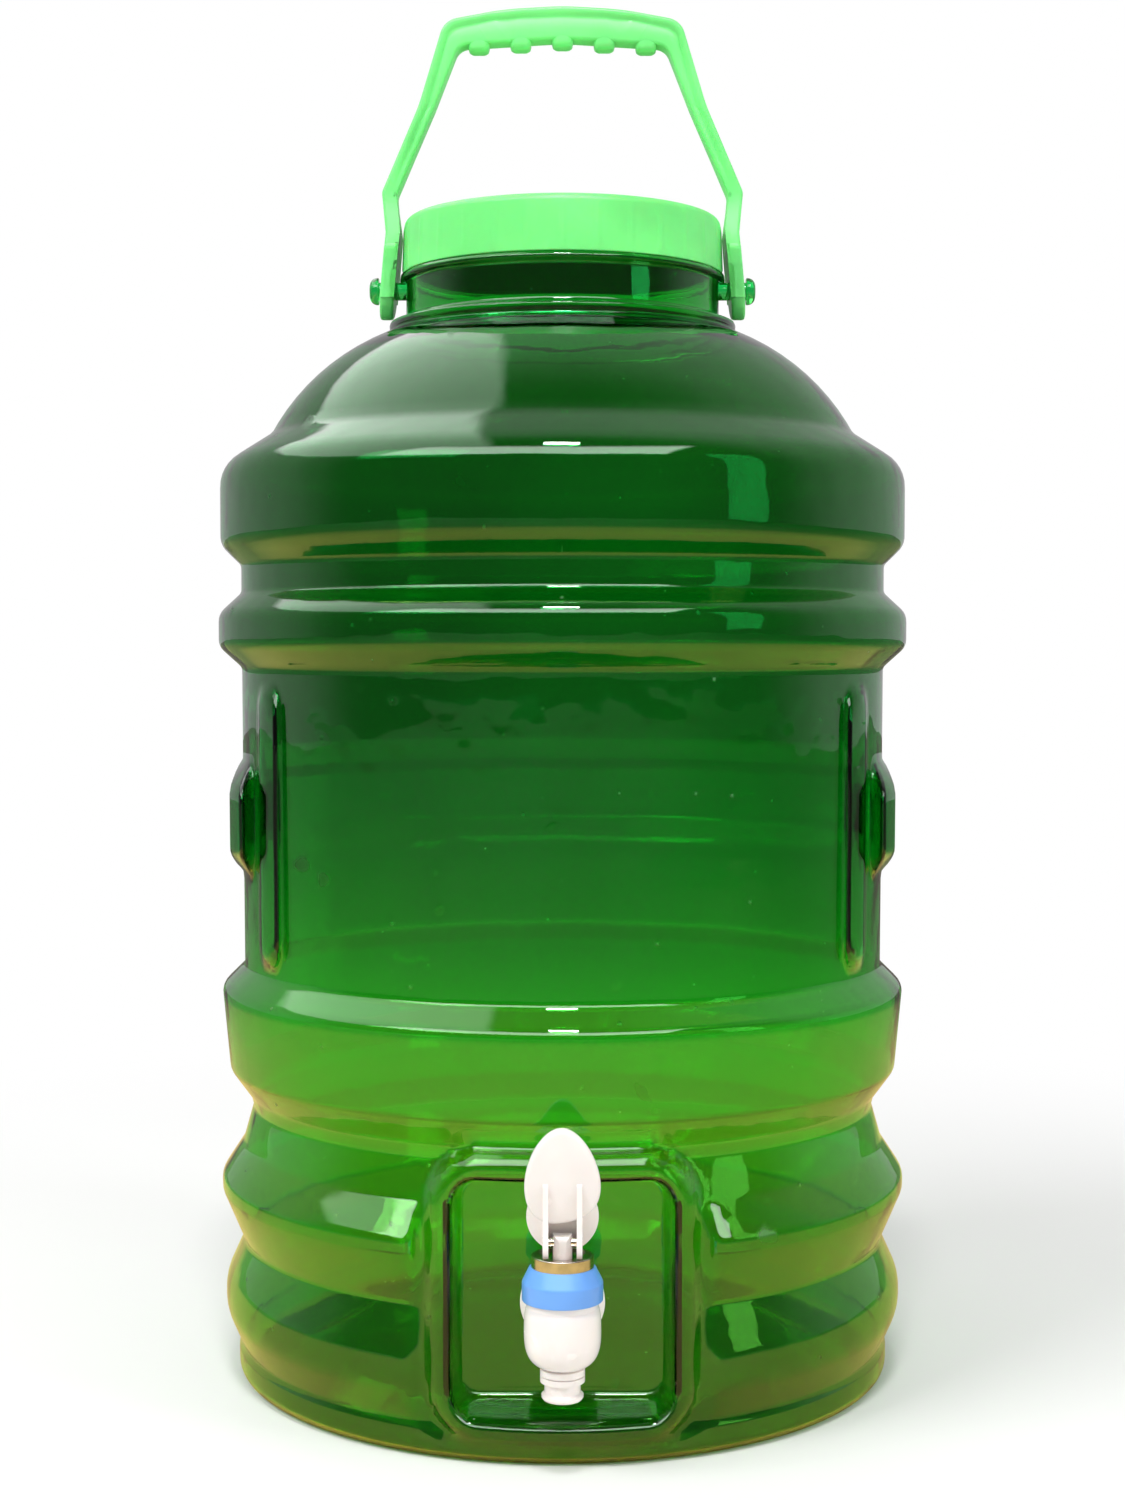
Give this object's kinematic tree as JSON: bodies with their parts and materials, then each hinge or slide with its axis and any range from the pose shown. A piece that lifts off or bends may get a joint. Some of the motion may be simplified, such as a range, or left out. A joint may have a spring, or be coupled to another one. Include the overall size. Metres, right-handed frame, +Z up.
{
  "type": "carboy with spigot",
  "caption": "Clear green blow-moulded water jar with wide screw lid, swinging carrying handle and a push-lever dispensing tap set in a front recess.",
  "frame": {"origin": "centre of the jar's standing ring, on the plane the jar stands on", "axes": "+Z up along the jar's axis, -Y towards the front where the tap is, X along the handle's pivot"},
  "size_m": [0.2721, 0.2901, 0.5383],
  "materials": {
    "green_clear_plastic": "clear green blow-moulded plastic, glossy",
    "light_green_plastic": "satin light green moulding",
    "white_plastic": "glossy white moulding",
    "blue_plastic": "satin blue moulding",
    "steel": "pressed stainless steel",
    "soft_seal": "translucent white silicone",
    "foam_liner": "white foam"
  },
  "bodies": {
    "jar": {"jar_body": "green_clear_plastic", "tap_body": "white_plastic", "tap_collar": "blue_plastic", "tap_cap": "steel", "stem_seal": "soft_seal", "valve_spring": "steel", "outer_gasket": "soft_seal", "inner_gasket": "soft_seal", "tap_nut": "white_plastic"},
    "handle": {"handle": "light_green_plastic"},
    "liner": {"lid_liner": "foam_liner"},
    "lid": {"lid": "light_green_plastic"},
    "stem": {"valve_stem": "white_plastic", "valve_seal": "soft_seal"},
    "lever": {"tap_lever": "white_plastic", "lever_pin": "steel"}
  },
  "joints": [
    {"name": "handle_swing", "type": "hinge", "parent": "jar", "child": "handle", "pos_m": [0, 0, 0.4277], "axis": [1, 0, 0], "range_deg": [-100, 100]},
    {"name": "lid_rise", "type": "slide", "parent": "jar", "child": "liner", "axis": [0, 0, 1], "range_m": [0, 0.012]},
    {"name": "lid_turn", "type": "hinge", "parent": "liner", "child": "lid", "pos_m": [0, 0, 0.4334], "axis": [0, 0, 1], "range_deg": [0, 720]},
    {"name": "stem_lift", "type": "slide", "parent": "jar", "child": "stem", "axis": [0, 0, 1], "range_m": [0, 0.00171], "stiffness_N_per_m": 450, "springref_m": -0.006, "deforming": ["valve_spring"]},
    {"name": "lever_tilt", "type": "hinge", "parent": "stem", "child": "lever", "pos_m": [0, -0.14, 0.0825], "axis": [1, 0, 0], "range_deg": [0, 35]}
  ],
  "couplings": [
    {"joint": "lid_rise", "follows": "lid_turn", "m_per_rad": 0.00095493},
    {"joint": "lever_tilt", "follows": "stem_lift", "rad_per_m": 357.14}
  ]
}
